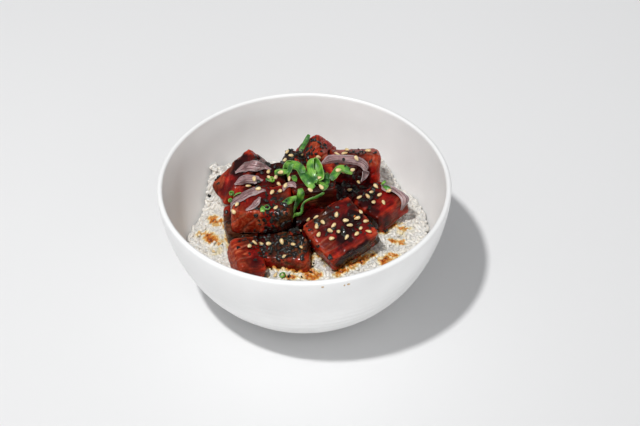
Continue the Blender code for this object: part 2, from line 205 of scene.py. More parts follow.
# Slices that lie on the pile, in millimetres, each along points of its middle line. A slice lies flat on
# what is under it, unless its flat side faces a given way, or its width runs across a given way.
ONION = {
    "onion_back_right": {"width": 3.4, "across": (0, -0.5, -0.9), "points": (
        (8.5, 11.8, 68.2), (14, 17.6, 67.4), (20.2, 19.2, 66), (27, 20.6, 64),
        (31.4, 21.6, 60.6), (33, 21, 57.3), (32.4, 19.6, 54.6), (29.8, 15.6, 53.2))},
    "onion_right": {"width": 4.4, "points": (
        (40.5, 13.5, 55.6), (45, 10.6, 56.6), (48.6, 7.8, 56.8), (52, 3.4, 55.8), (53.6, -0.6, 52.6),
        (51.8, -3.4, 48))},
    "onion_left_upper": {"width": 4.6, "points": (
        (-37, 18, 59), (-32, 18.4, 62.4), (-27.5, 17, 64.6), (-23.4, 15.8, 64), (-19, 16, 63))},
    "onion_left_lower": {"width": 3.4, "points": (
        (-37.5, 11, 57), (-32, 10, 60.5), (-27, 8, 62.5), (-21.2, 7.4, 63))},
    "onion_front_left": {"width": 3.8, "points": (
        (-36.6, -13.5, 59), (-35.2, -8.6, 63), (-30, -4.6, 64.4), (-24.6, -2.6, 64.8), (-19.5, -2.4, 64.8))},
    "onion_front_left_inner": {"width": 2.8, "points": (
        (-29.5, -16.4, 63.6), (-25.5, -12.2, 64), (-22.4, -6.8, 64.6))},
    "onion_middle": {"width": 2.6, "points": (
        (-10.8, -4.4, 65), (-9.6, 0.4, 65.4), (-5.8, -0.8, 67.4), (-4.3, -4.6, 67))},
}
# A strip's form: thickness, how deep it is cupped and how wide its ends are as shares of its width, and
# how much wider than its node it lies. A strip with a set facing or across is kept clear but doesn't sag.
ONION_FORM = (0.45 * MM, 0.17, 0.22, 1.35)
SPRING_ONION = {
    "spring_onion_ribbon": {"width": 3.6, "facing": (0, -0.6, 0.8), "points": (
        (-9.4, 13.6, 66.6), (-5.5, 11.8, 69), (-2.2, 8.6, 69.6), (-0.6, 4, 69), (1.7, -1, 68),
        (4.8, -4.4, 66.6))},
    "spring_onion_loop": {"width": 3.4, "across": (0.85, -0.3, 0.45), "points": (
        (6.2, -2.6, 69), (3.8, 2, 70.4), (2.8, 6, 71.6), (3, 10, 73), (4.5, 11.4, 73.6),
        (6.3, 9.6, 72.4), (7.6, 6.2, 70.8), (8.3, 2.8, 69.6), (8.8, -0.8, 68.8))},
    "spring_onion_curve": {"width": 2.5, "points": (
        (9.9, 7.4, 67.4), (12, 4.4, 67), (11.4, -0.8, 66.4), (8.8, -4.4, 65.2))},
    "spring_onion_tuft": {"width": 3.1, "facing": (0, -0.6, 0.8), "points": (
        (13.4, 1.4, 67), (16.2, 5.4, 68.2), (18.4, 9.6, 68.6), (21.6, 9.6, 67), (25, 9.4, 64.6))},
    "spring_onion_leaf": {"width": 3.3, "points": (
        (-2.3, -4.8, 67), (-1.6, -7.2, 62.5), (-2.7, -7.6, 57.5), (-3.9, -10.2, 54.2))},
    "spring_onion_side": {"width": 3.0, "points": (
        (-11.4, -13.4, 64.4), (-7.4, -10.6, 64), (-4, -8.6, 63))},
    "spring_onion_strand": {"width": 1.5, "points": (
        (10.6, -4.4, 63), (6.4, -6, 60.5), (1.8, -8.6, 58.4), (-1.4, -10.4, 55.8), (-4.2, -13.4, 54.4))},
    "spring_onion_back": {"width": 2.0, "facing": (0, -0.7, 0.7), "points": (
        (2.7, 39.4, 66.6), (1.4, 36.6, 64.4), (-0.8, 33.6, 63.2), (-2, 30.2, 61.4))},
    "spring_onion_left": {"width": 2.5, "facing": (0, -0.5, 0.85), "points": (
        (-15.5, 11.6, 64), (-11.5, 10.8, 65), (-8, 8.4, 66.8))},
}
SPRING_ONION_FORM = (0.34 * MM, 0.20, 0.6, 1.25)
# Short flat chips of spring onion: where they lie, length, width, and which way they point in degrees.
CHIPS = ((-11, 13.5, 9, 3.6, 5), (-7, 10, 4, 3.4, 60), (10, -2.5, 3.4, 3.4, 40), (-21, -15, 4, 3, 80),
         (7, 1, 7, 3, -40), (-1, 6, 6, 3, 100), (12, 5, 5, 2.8, 75), (5, 8, 7, 3, 15), (-34, -4, 4, 3, 30),
         (43, 9, 5, 2.4, -50), (-18, 8, 4, 2.4, -30), (-5, 3, 5, 2.4, -80))
STRIP_SPACING = 1.0 * MM
STRIP_CELLS = 6
STRIP_GAP = 0.12 * MM
SAG_SHARE = 0.3
SAG_MOST = 1.0 * MM
LAST_ROUNDS = 2
NORMAL_ROUNDS = 6
SETTLE_ROUNDS = 12
PROBES_ACROSS = (-0.5, -0.25, 0, 0.25, 0.5)
RAGGED_SHARE = 0.12
RAGGED_LENGTH = 3 * MM

# Cut rings of spring onion: where, in millimetres, radius, height, and tilt off the ground in degrees.
RINGS = ((-17, 7, 1.8, 1.5, 20), (-36, -3, 1.7, 1.6, 50), (-37, -9, 1.3, 1.2, 30), (42, 11, 1.9, 1.5, 30),
         (-11, -40, 2.1, 1.4, 15), (-19, -15, 1.8, 1.5, 25), (-12, 3, 1.2, 1.1, 10))

# Seasoning: where it gathers, in millimetres, how far it spreads, and how much of it.
WHITE_SEED_ZONES = ((-9, 30, 7, 5), (-22, 10, 9, 6), (-15, -2, 9, 6), (-36, -14, 3, 3), (-10, -22, 9, 9),
                    (-27, -30, 6, 4), (4, -18, 6, 5), (14, -22, 9, 9), (27, -20, 7, 7), (20, 28, 9, 6),
                    (24, 15, 8, 7), (36, 6, 8, 8), (2, 0, 8, 5))
DARK_ZONES = ((-1, 28, 7, 90), (8, 38, 3, 12), (-16, -19, 8, 150), (-5, -24, 6, 80), (-8, -30, 7, 50),
              (-22, -1, 9, 30), (-30, -24, 4, 16), (-23, -30, 4, 14), (-46, 20, 3, 8), (42, -19, 2, 10),
              (-16, -36, 3, 14), (15, -20, 9, 26), (28, -20, 6, 16), (24, 14, 8, 60), (34, 9, 6, 34),
              (-20, 22, 6, 20), (-45, 18, 4, 4), (-38, -12, 4, 14), (45, -18, 5, 8), (-15, -38, 7, 16),
              (5, -40, 7, 8), (14, 2, 8, 30), (30, 30, 8, 12), (-6, 30, 8, 40), (20, 22, 8, 30))
SEED_SHAPE = (1.0, 0.76, 0.5)
FLAKE_KINDS = 5
SCATTER_TILT = radians(52)
SCATTER_REACH = 60 * MM
SCATTER_HEIGHT = 58 * MM
FACING_LEAST = 0.2
HIGHEST_BIT = 71 * MM
SEEDS_APART = 3.4 * MM
ON_FISH = 0.6 * MM
RING_WALL = 0.75 * MM
CHIP_LIFT = 0.6 * MM
SEASONING_SLOT = "onion"
CHILLI_PLACE = (25, -15.5)
CHILLI_SIZE = (1.5 * MM, 1.0 * MM, 0.9 * MM)
SEASONING_SEED = 11
# Bits that would land beside the fish are mostly dropped, and a few of the rest are black seeds.
DROPPED_BESIDE_FISH = 0.8
BLACK_SEED_SHARE = 0.11
BLACK_SEED_SIZE = 0.84
THROWS_FOR_EACH = 6
ROCK = 0.3


# ---- small helpers -------------------------------------------------------------------------

def deselect_all():
    if bpy.context.object and bpy.context.object.mode != "OBJECT":
        bpy.ops.object.mode_set(mode="OBJECT")
    bpy.ops.object.select_all(action="DESELECT")


def make_active(obj):
    deselect_all()
    obj.select_set(True)
    bpy.context.view_layer.objects.active = obj


def apply_modifier(obj, name, kind, **values):
    make_active(obj)
    modifier = obj.modifiers.new(name, kind)
    for key, value in values.items():
        setattr(modifier, key, value)
    bpy.ops.object.modifier_apply(modifier=modifier.name)


def link_mesh(name, mesh):
    obj = bpy.data.objects.new(name, mesh)
    bpy.context.scene.collection.objects.link(obj)
    return obj


def finish_piece(obj, mat, slot, *replaced):
    """Gives a finished piece its material and smooth shading, puts it on its body, and hides the nodes it
    stands for.
    """
    obj.data.materials.clear()
    obj.data.materials.append(mat)
    for polygon in obj.data.polygons:
        polygon.use_smooth = True
    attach(obj, BODY)
    if replaced:
        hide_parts(*replaced)


def merged_copy(node, name):
    """A copy of a frame node with its loose triangles merged into one skin."""
    mesh = frame["nodes"][node].data.copy()
    mesh.name = name
    bm = bmesh.new()
    bm.from_mesh(mesh)
    bmesh.ops.remove_doubles(bm, verts=bm.verts, dist=0.01 * MM)
    bm.to_mesh(mesh)
    bm.free()
    if "custom_normal" in mesh.attributes:
        mesh.attributes.remove(mesh.attributes["custom_normal"])
    return link_mesh(name, mesh)


class Ground:
    """Surfaces that things are laid on, as one search tree for each lot."""

    def __init__(self, *lots):
        self.trees = [search_tree(lot) for lot in lots]

    def add(self, obj):
        self.trees.append(search_tree([obj]))

    def find_nearest(self, place):
        return min((tree.find_nearest(place) for tree in self.trees), key=lambda found: found[3])

    def ray_cast(self, start, way):
        found = [tree.ray_cast(start, way) for tree in self.trees]
        return min(found, key=lambda hit: hit[3] if hit[0] else FAR)


def search_tree(objects):
    points, faces = [], []
    for obj in objects:
        first = len(points)
        obj.data.calc_loop_triangles()
        points += [v.co.copy() for v in obj.data.vertices]
        faces += [[first + i for i in t.vertices] for t in obj.data.loop_triangles]
    return BVHTree.FromPolygons(points, faces)


def face_outwards(obj):
    make_active(obj)
    bpy.ops.object.mode_set(mode="EDIT")
    bpy.ops.mesh.select_all(action="SELECT")
    bpy.ops.mesh.normals_make_consistent(inside=False)
    bpy.ops.object.mode_set(mode="OBJECT")


def unit_ball(sides, rings):
    deselect_all()
    bpy.ops.mesh.primitive_uv_sphere_add(segments=sides, ring_count=rings, radius=0.5)
    return bpy.context.object


def turned_to(normal):
    """The turn that brings a thing standing upright to stand along a normal."""
    return UP.rotation_difference(normal).to_matrix()


def tossed(rng, normal, rock, pitch):
    """A random turn lying on a surface, rocked and pitched a little."""
    flat = Euler((rng.uniform(-rock, rock), rng.uniform(-pitch, pitch), rng.uniform(0, 2 * pi))).to_matrix()
    return turned_to(normal) @ flat


def grey(value):
    return (value, value, value)


def scaled(colour, share):
    return tuple(channel * share for channel in colour)


def smooth(share):
    share = min(max(share, 0), 1)
    return share * share * (3 - 2 * share)


def float_attribute(mesh, name, values):
    layer = mesh.attributes.new(name, "FLOAT", "POINT")
    layer.data.foreach_set("value", values)


def vector_attribute(mesh, name, values):
    layer = mesh.attributes.new(name, "FLOAT_VECTOR", "POINT")
    layer.data.foreach_set("vector", np.ravel(values))


def point_array(mesh):
    flat = np.empty(len(mesh.vertices) * 3)
    mesh.vertices.foreach_get("co", flat)
    return flat.reshape(-1, 3)


def take_shape(obj):
    """The points and triangles of a small modelled shape, which is then removed."""
    obj.data.calc_loop_triangles()
    points = point_array(obj.data)
    faces = np.array([t.vertices for t in obj.data.loop_triangles])
    bpy.data.objects.remove(obj)
    return points, faces


# ---- materials -----------------------------------------------------------------------------

class Shader:
    """A material under construction, with short calls for the nodes it needs."""

    def __init__(self, name, **constants):
        self.mat = bpy.data.materials.new(name)
        self.mat.use_nodes = True
        self.nodes = self.mat.node_tree.nodes
        self.links = self.mat.node_tree.links
        self.surface = self.nodes["Principled BSDF"]
        for socket, value in constants.items():
            self.surface.inputs[socket].default_value = value

    def link(self, source, target):
        self.links.new(source, target)

    def add(self, kind, **inputs):
        node = self.nodes.new("ShaderNode" + kind)
        for socket, value in inputs.items():
            self.feed(node.inputs[socket], value)
        return node

    def coordinates(self, scale=(1, 1, 1), turn=(0, 0, 0), source="Object", offset=(0, 0, 0)):
        where = self.add("TexCoord").outputs[source]
        return self.stretched(where, scale, turn, offset)

    def stretched(self, vector, scale, turn=(0, 0, 0), offset=(0, 0, 0)):
        mapping = self.add("Mapping", Vector=vector, Scale=scale, Rotation=turn, Location=offset)
        return mapping.outputs["Vector"]

    def noise(self, where, scale, detail=3.0, roughness=0.5, distortion=0.0):
        node = self.add("TexNoise", Vector=where, Scale=scale, Detail=detail, Roughness=roughness,
                        Distortion=distortion)
        return node.outputs["Fac"]

    def attribute(self, name, output="Fac"):
        node = self.add("Attribute")
        node.attribute_name = name
        return node.outputs[output]

    def ramp(self, value, *stops):
        node = self.add("ValToRGB", Fac=value)
        ramp = node.color_ramp
        while len(ramp.elements) < len(stops):
            ramp.elements.new(0.5)
        for element, (place, colour) in zip(ramp.elements, stops):
            element.position = place
            element.color = (*colour, 1)
        return node.outputs["Color"]

    def mix(self, share, first, second, blend="MIX"):
        node = self.add("Mix")
        node.data_type = "RGBA"
        node.blend_type = blend
        self.feed(node.inputs["Factor"], share)
        self.feed(node.inputs["A"], first, colour=True)
        self.feed(node.inputs["B"], second, colour=True)
        return node.outputs["Result"]

    def math(self, operation, first, second=0.0, clamp=False):
        node = self.add("Math")
        node.operation = operation
        node.use_clamp = clamp
        self.feed(node.inputs[0], first)
        self.feed(node.inputs[1], second)
        return node.outputs[0]

    def feed(self, socket, value, colour=False):
        if isinstance(value, bpy.types.NodeSocket):
            self.link(value, socket)
        else:
            socket.default_value = (*value, 1) if colour else value

    def bump(self, height, distance, strength=1.0):
        node = self.add("Bump", Distance=distance, Strength=strength, Height=height)
        self.link(node.outputs["Normal"], self.surface.inputs["Normal"])
        return self

    def set(self, socket, value):
        self.link(value, self.surface.inputs[socket])
        return self


# ---- bowl ----------------------------------------------------------------------------------

def wall_outline(turn):
    """A point (radius, height) of the outer wall, from the foot (turn 0) to the rim (turn 1)."""
    angle = turn * pi / 2
    across = sin(angle) ** (2 / WALL_POWER_ACROSS)
    up = 1 - max(cos(angle), 0) ** (2 / WALL_POWER_UP)
    radius = FOOT_RADIUS + (RIM_RADIUS - FOOT_RADIUS) * across
    height = FOOT_HEIGHT + (RIM_HEIGHT - WALL / 2 - FOOT_HEIGHT) * up
    return radius, height


def wall_inset(turn, depth):
    """The same point moved into the wall by a depth, square to the wall."""
    low = wall_outline(max(turn - OUTLINE_STEP, 0))
    high = wall_outline(min(turn + OUTLINE_STEP, 1))
    along = Vector((high[0] - low[0], high[1] - low[1])).normalized()
    radius, height = wall_outline(turn)
    return radius - along.y * depth, height + along.x * depth


def wall_turns(count):
    return [WALL_FIRST_TURN + (1 - WALL_FIRST_TURN) * i / count for i in range(count + 1)]


def inner_radius(height):
    """Radius of the bowl's inside at a height."""
    points = [wall_inset(turn, WALL) for turn in wall_turns(INNER_POINTS)]
    for (low_radius, low), (high_radius, high) in zip(points, points[1:]):
        if low <= height <= high:
            return low_radius + (high_radius - low_radius) * (height - low) / (high - low)
    return points[-1][0]


def turning_ring(height):
    """How far the outer wall dips between two turning rings, less towards the rim."""
    fade = smooth((TURNING_RING_TOP - height) / TURNING_RING_FADE)
    return TURNING_RING_DEPTH * fade * (1 - cos(2 * pi * height / TURNING_RING_LENGTH)) / 2


def bowl_outline():
    """Open outline from the recess under the bowl, up the outer side, over the lip and down inside."""
    outer = [wall_inset(turn, turning_ring(wall_outline(turn)[1])) for turn in wall_turns(OUTER_POINTS)]
    inner = [wall_inset(turn, WALL) for turn in reversed(wall_turns(INNER_POINTS))]
    lip_radius = RIM_RADIUS - WALL / 2
    lip_height = RIM_HEIGHT - WALL / 2
    angles = [pi * i / (LIP_POINTS + 1) for i in range(1, LIP_POINTS + 1)]
    lip = [(lip_radius + WALL / 2 * cos(a), lip_height + WALL / 2 * sin(a)) for a in angles]
    foot = [(FOOT_INNER_RADIUS, FOOT_RECESS), (FOOT_INNER_RADIUS + FOOT_RECESS / 3, 0),
            (FOOT_RADIUS - FOOT_CHAMFER, 0), (FOOT_RADIUS, FOOT_CHAMFER_HEIGHT)]
    return foot + outer + lip + inner


def bowl_material(settings):
    glaze = Shader("bowl_satin_glaze", **{"Roughness": 0.32, "Coat Weight": 0.25, "Coat Roughness": 0.2,
                                          "Specular IOR Level": 0.45})
    where = glaze.coordinates()
    cloud = glaze.noise(where, 45, 4)
    white = tuple(settings.glaze_colour)
    colour = glaze.ramp(cloud, (0.35, scaled(white, 0.955)), (0.65, white))
    fine = glaze.noise(where, 900, 2)
    glaze.set("Base Color", colour).bump(fine, 0.02 * MM, 0.35)
    return glaze.mat


class POKE_OT_bowl(bpy.types.Operator):
    """Turn the bowl from a disc: extrude ring after ring along its outline"""
    bl_idname = "poke.bowl"
    bl_label = "Bowl"

    def execute(self, context):
        deselect_all()
        outline = bowl_outline()
        radius, height = outline[0]
        bpy.ops.mesh.primitive_circle_add(vertices=BOWL_SEGMENTS, radius=radius, fill_type="NGON",
                                          location=(0, 0, height))
        obj = context.object
        obj.name = "bowl_glazed"
        bpy.ops.object.transform_apply(location=True)
        bpy.ops.object.mode_set(mode="EDIT")
        bpy.ops.mesh.select_all(action="SELECT")
        for next_radius, next_height in outline[1:]:
            rise = {"value": (0, 0, next_height - height)}
            bpy.ops.mesh.extrude_region_move(TRANSFORM_OT_translate=rise)
            bpy.ops.transform.resize(value=(next_radius / radius, next_radius / radius, 1),
                                     center_override=(0, 0, next_height))
            radius, height = next_radius, next_height
        face_outwards(obj)
        finish_piece(obj, bowl_material(context.scene.poke_bowl), "bowl_white", "bowl")
        return {"FINISHED"}


# ---- rice ----------------------------------------------------------------------------------

# Soy has run into the rice in short stretches beside the fish. In millimetres: where a stretch starts
# and ends on the plan, how far it reaches to each side, and how strong it is. The last three are wide,
# faint washes.
SOY_STRETCHES = (
    ((-50, 15), (-45, 5), 4, 0.8),
    ((-55, 0), (-45, -10), 4, 0.9),
    ((-10, -40), (-5, -40), 3, 0.7),
    ((0, -40), (5, -40), 5, 1.0),
    ((15, -40), (35, -25), 3, 0.8),
    ((40, -30), (45, -25), 4, 1.0),
    ((45, -15), (50, -15), 3, 0.8),
    ((50, -5), (55, -5), 3, 0.6),
    ((50, -10), (50, 0), 12, 0.25),
    ((45, 10), (45, 15), 8, 0.25),
    ((-45, -20), (-45, -10), 14, 0.25))


def grain_shape():
    """One grain along X, of unit length and width: a small ball drawn blunt towards its ends."""
    grain = unit_ball(GRAIN_SIDES, GRAIN_RINGS)
    for vert in grain.data.vertices:
        x, y, z = vert.co
        reach = (x * x + y * y) ** 0.5
        fuller = (2 * reach) ** GRAIN_BLUNT / (2 * reach) if reach > 0.01 else 1
        vert.co = (z, x * fuller, y * fuller)
    return take_shape(grain)


def joined_mesh(name, *groups):
    """Many turned and scaled copies of small shapes, as one mesh. A group is a shape and its placements."""
    all_points, all_faces, first = [], [], 0
    for (points, faces), placements in groups:
        for place, turn, scale in placements:
            all_points.append(points * scale @ np.array(turn).T + np.array(place))
            all_faces.append(faces + first)
            first += len(points)
    mesh = bpy.data.meshes.new(name)
    mesh.from_pydata(np.concatenate(all_points).tolist(), [], np.concatenate(all_faces).tolist())
    return link_mesh(name, mesh)


def stain_at(place, tuna_tree):
    """How much soy has soaked in at a place, with a ragged edge, and more beside the fish."""
    total = 0
    on_plan = Vector((place.x / MM, place.y / MM))
    for start, end, reach, strength in SOY_STRETCHES:
        start, along = Vector(start), Vector(end) - Vector(start)
        share = min(1, max(0, (on_plan - start).dot(along) / along.length_squared))
        away = (on_plan - start - along * share).length_squared / (reach * reach)
        total = max(total, strength * exp(-STAIN_FADE * away))
    streak = 0.5 + 1.1 * noise.noise(Vector((place.x / STREAK_LENGTH, place.y / STREAK_WIDTH, 0)))
    stained = min(1, max(0, total * 1.7 * (0.25 + streak) - 0.3))
    beside = max(0, 1 - tuna_tree.find_nearest(place)[3] / SOAKED_REACH)
    soaked = beside * (0.5 + 1.1 * noise.noise(Vector((place.x, place.y, 0)) / SOAKED_LENGTH))
    return max(stained, min(1, soaked))


def rice_material(settings):
    rice = Shader("cooked_rice", **{"Roughness": 0.40, "Subsurface Weight": 0.5, "Subsurface Scale": 1.0 * MM,
                                    "Subsurface Radius": (1.0, 0.94, 0.84), "Coat Weight": 0.2,
                                    "Coat Roughness": 0.2})
    where = rice.coordinates()
    white = tuple(settings.rice_colour)
    tone = rice.noise(where, 190, 3, 0.6)
    pale = rice.ramp(tone, (0.34, scaled(white, 0.80)), (0.52, scaled(white, 0.94)), (0.68, white))
    uneven = rice.math("MULTIPLY", rice.math("SUBTRACT", rice.noise(where, 420, 3, 0.6), 0.56), 2.4)
    depth = rice.math("MULTIPLY", rice.attribute("soy"), rice.math("ADD", 1.0, uneven), clamp=True)
    soaked = rice.ramp(depth, (0.0, (0.84, 0.78, 0.60)), (0.20, (0.78, 0.64, 0.36)),
                       (0.34, (0.68, 0.38, 0.11)), (0.56, (0.64, 0.21, 0.014)),
                       (0.88, (0.42, 0.090, 0.006)), (1.0, (0.13, 0.026, 0.003)))
    share = rice.ramp(depth, (0.0, grey(0)), (0.16, grey(0.9)), (0.30, grey(1)))
    rice.set("Base Color", rice.mix(share, pale, soaked))
    rice.bump(rice.noise(where, 600, 2), 0.1 * MM, 0.3)
    return rice.mat


def grain_placements(rng, grain_length, tuna_tree):
    """Grains lying on the rice's top in a few layers, kept off the bowl's wall."""
    rice_tree = search_tree([frame["nodes"]["rice"]])
    placements = []
    for depth, spacing in GRAIN_LAYERS:
        taken = {}
        for _ in range(GRAIN_THROWS):
            radius, angle = GRAIN_FIELD * rng.random() ** 0.5, rng.uniform(0, 2 * pi)
            x, y = radius * cos(angle), radius * sin(angle)
            cell = (round(x / (spacing * MM)), round(y / (spacing * MM)))
            if cell in taken:
                continue
            hit, normal, _, _ = rice_tree.ray_cast(Vector((x, y, GRAIN_DROP)), DOWN)
            if not hit or normal.z < STEEPEST_RICE:
                continue
            under_fish = tuna_tree.ray_cast(hit, UP)[0]
            if tuna_tree.find_nearest(hit)[3] < (UNDER_FISH if under_fish else BESIDE_FISH):
                continue
            length = grain_length * rng.uniform(0.8, 1.12)
            width = GRAIN_WIDTH * rng.uniform(0.85, 1.15)
            place = hit - normal * (width / 2 + depth * MM + rng.uniform(-0.5, 0.5) * MM)
            turn = tossed(rng, normal, ROCK, 0.5)
            reach = max((place + turn @ Vector((end * length / 2, 0, 0))).to_2d().length for end in (-1, 1))
            limit = inner_radius(place.z) - width / 2 - GRAIN_WALL_GAP
            if reach > limit:
                place.xy *= max(0, 1 - (reach - limit) / max(reach, MM))
            taken[cell] = True
            placements.append((place, turn, (length, width, width * rng.uniform(0.85, 1))))
    return placements


class POKE_OT_rice(bpy.types.Operator):
    """Sink the rice's solid into a core and heap loose grains over it"""
    bl_idname = "poke.rice"
    bl_label = "Rice"

    def execute(self, context):
        settings = context.scene.poke_bowl
        rng = random.Random(settings.scatter_seed)
        mat = rice_material(settings)
        core = merged_copy("rice", "rice_core")
        apply_modifier(core, "Skin", "REMESH", mode="VOXEL", voxel_size=RICE_VOXEL)
        apply_modifier(core, "Sink", "DISPLACE", strength=-RICE_CORE_SINK, mid_level=0)
        tuna_tree = search_tree([frame["nodes"][name] for name in TUNA_NODES])
        float_attribute(core.data, "soy", [stain_at(v.co, tuna_tree) for v in core.data.vertices])
        finish_piece(core, mat, "rice", "rice")
        shape = grain_shape()
        placements = grain_placements(rng, settings.grain_length, tuna_tree)
        grains = joined_mesh("rice_grains", (shape, placements))
        float_attribute(grains.data, "soy", [stain_at(v.co, tuna_tree) for v in grains.data.vertices])
        finish_piece(grains, mat, "rice")
        return {"FINISHED"}


# ---- tuna ----------------------------------------------------------------------------------

def fibre_axes(name):
    turn, tilt = FIBRE_TURN[name]
    return Euler((0, -radians(tilt), radians(turn))).to_matrix()


def layer_groove(local, shift):
    """How deep in a groove between two layers of flesh a point lies, 0 to 1."""
    wave = LAYER_WAVE * noise.noise(local / LAYER_WAVE_LENGTH + shift)
    phase = (0.8 * local.y + 0.6 * local.z) / LAYER + wave
    return max(0, 1 - abs(phase % 1 - 0.5) / GROOVE)


def tuna_relief(point, local, shift, edge, groove):
    """How far the surface stands out: sags, soft lumps, torn edges, and fine ridges along the fibres."""
    sag = noise.noise(point / SAG_LENGTH + shift)
    lumps = noise.noise(point / LUMP_LENGTH - shift)
    torn = max(0, noise.noise(point / TORN_LENGTH + shift))
    along_fibre = Vector((local.x / FIBRE_LENGTH, local.y / FIBRE_WIDTH, local.z / FIBRE_WIDTH))
    ridges = noise.noise(along_fibre + shift)
    out = SAG_DEPTH * sag + LUMP_DEPTH * lumps + FIBRE_DEPTH * ridges - SINK
    return min(out, OUT_MOST) - TORN_DEPTH * edge * torn - GROOVE_DEPTH * groove


def tuna_paint(points, patches):
    """How strongly each point is painted, from a few round patches with ragged edges."""
    total = np.zeros(len(points))
    if not patches:
        return total
    ragged = np.array([noise.noise(Vector(p) / PAINT_RAGGED_LENGTH) for p in points])
    for x, y, z, reach, strength in patches:
        away = np.linalg.norm(points / MM - (x, y, z), axis=1) / reach + PAINT_RAGGED * ragged
        total = np.maximum(total, strength * np.clip(3.2 - 2.8 * away, 0, 1))
    return total


def edge_share(mesh):
    """How much each point stands on a rounded edge or corner, from where smoothing would take it."""
    start = point_array(mesh)
    ends = np.empty(len(mesh.edges) * 2, dtype=np.int64)
    mesh.edges.foreach_get("vertices", ends)
    ends = ends.reshape(-1, 2)
    count = np.bincount(ends.ravel(), minlength=len(start))[:, None]
    points = start
    for _ in range(EDGE_ROUNDS):
        total = np.zeros_like(points)
        np.add.at(total, ends[:, 0], points[ends[:, 1]])
        np.add.at(total, ends[:, 1], points[ends[:, 0]])
        points = (points + total / np.maximum(count, 1)) / 2
    normals = np.array([v.normal for v in mesh.vertices])
    return np.clip(((start - points) * normals).sum(axis=1) / EDGE_SCALE, 0, 1)


def tuna_material(settings):
    tuna = Shader("soy_glazed_tuna", **{"Subsurface Weight": 0.12, "Subsurface Scale": 1.5 * MM,
                                        "Subsurface Radius": (1.0, 0.2, 0.1), "Coat Weight": 0.34,
                                        "Coat Roughness": 0.15, "Specular IOR Level": 0.05})
    grain = tuna.attribute("grain", "Vector")
    place = tuna.coordinates()
    patches = tuna.noise(place, 105, 4, 0.6)
    fibres = tuna.noise(tuna.stretched(grain, (110, 800, 800)), 1, 4, 0.6, 0.6)
    marbling = tuna.noise(tuna.stretched(grain, (45, 330, 330)), 1, 3, 0.55, 1.0)
    red = tuple(settings.tuna_colour)
    flesh = tuna.ramp(patches, (0.37, (red[0] * 0.25, red[1] * 0.4, red[2] * 0.5)), (0.49, red),
                      (0.59, (red[0] * 1.9, red[1] * 2.4, red[2] * 1.6)),
                      (0.70, (red[0] * 3.2, red[1] * 18, red[2] * 6)))
    pale_flesh = tuna.ramp(marbling, (0.34, (0.27, 0.018, 0.004)), (0.50, (0.42, 0.045, 0.012)),
                           (0.68, (0.62, 0.16, 0.065)))
    crust = tuna.ramp(marbling, (0.34, (0.022, 0.009, 0.005)), (0.52, (0.11, 0.034, 0.014)),
                      (0.72, (0.28, 0.105, 0.045)))
    soy = tuna.ramp(patches, (0.45, tuple(settings.soy_colour)), (0.72, (0.055, 0.002, 0.002)))
    # Lighter orange along the rounded edges: partly paler flesh, partly a painted highlight on the edges.
    colour = tuna.mix(tuna.math("MULTIPLY", tuna.attribute("edge"), 0.65), flesh, (0.60, 0.060, 0.018))
    colour = tuna.mix(tuna.attribute("pale"), colour, pale_flesh)
    colour = tuna.mix(tuna.attribute("brown"), colour, crust)
    seam = tuna.math("MULTIPLY", tuna.attribute("seam"),
                     tuna.math("ADD", 0.05, tuna.math("MULTIPLY", tuna.attribute("pale"), 0.45)))
    colour = tuna.mix(seam, colour, (0.70, 0.30, 0.19))
    colour = tuna.mix(1.0, colour, tuna.ramp(fibres, (0.30, (0.55, 0.5, 0.5)), (0.66, (1.15, 1.12, 1.12))),
                      "MULTIPLY")
    colour = tuna.mix(tuna.attribute("soy"), colour, soy)
    rough = tuna.math("SUBTRACT", 0.34, tuna.math("MULTIPLY", tuna.attribute("soy"), 0.20))
    fine = tuna.noise(place, 520, 2, 0.5)
    relief = tuna.math("ADD", fibres, tuna.math("MULTIPLY", fine, 1.5))
    strength = tuna.math("SUBTRACT", 0.9, tuna.math("MULTIPLY", tuna.attribute("soy"), 0.65))
    tuna.set("Base Color", colour).set("Roughness", rough).bump(relief, 0.38 * MM, strength)
    return tuna.mat


class POKE_OT_tuna(bpy.types.Operator):
    """Give every piece of tuna a fine skin with lumps and fibres, under a wet glaze"""
    bl_idname = "poke.tuna"
    bl_label = "Tuna"

    def execute(self, context):
        mat = tuna_material(context.scene.poke_bowl)
        for seed, node in enumerate(TUNA_NODES):
            piece = merged_copy(node, node.replace("tuna_", "fish_"))
            apply_modifier(piece, "Skin", "REMESH", mode="VOXEL", voxel_size=TUNA_VOXEL)
            apply_modifier(piece, "Soften", "SMOOTH", factor=0.5, iterations=3)
            axes = fibre_axes(node)
            mesh = piece.data
            edge = edge_share(mesh)
            normals = [v.normal.copy() for v in mesh.vertices]
            shift = Vector((seed * 3.1, seed * 1.7, 0))
            to_local = axes.transposed()
            seams, runs = [], []
            for vert, normal, edged in zip(mesh.vertices, normals, edge.tolist()):
                local = to_local @ vert.co
                groove = layer_groove(local, shift)
                seams.append(groove)
                runs.append(noise.noise(vert.co / SOY_RUN_LENGTH + shift))
                vert.co += normal * tuna_relief(vert.co, local, shift, edged, groove)
            points = point_array(mesh)
            paint = {kind: tuna_paint(points, TUNA_PATCHES[node].get(kind)) for kind in PAINTS}
            tops = np.clip(np.array([n.z for n in normals]) * 2.2 - 1.1, 0, 1)
            run = np.clip(0.5 + 3.4 * np.array(runs), 0, 1)
            glazed = np.maximum(paint["soy"], SOY_ON_TOPS * tops * (1 - edge) * run)
            paint["soy"] = glazed * (1 - 0.7 * paint["pale"] * (1 - tops))
            for kind, values in paint.items():
                float_attribute(mesh, kind, values)
            # The edge share is also the mask of the painted highlight along the rounded edges.
            float_attribute(mesh, "edge", edge)
            float_attribute(mesh, "seam", seams)
            vector_attribute(mesh, "grain", points @ np.array(axes))
            finish_piece(piece, mat, "tuna", node)
        return {"FINISHED"}


# ---- onion and spring onion ------------------------------------------------------------------

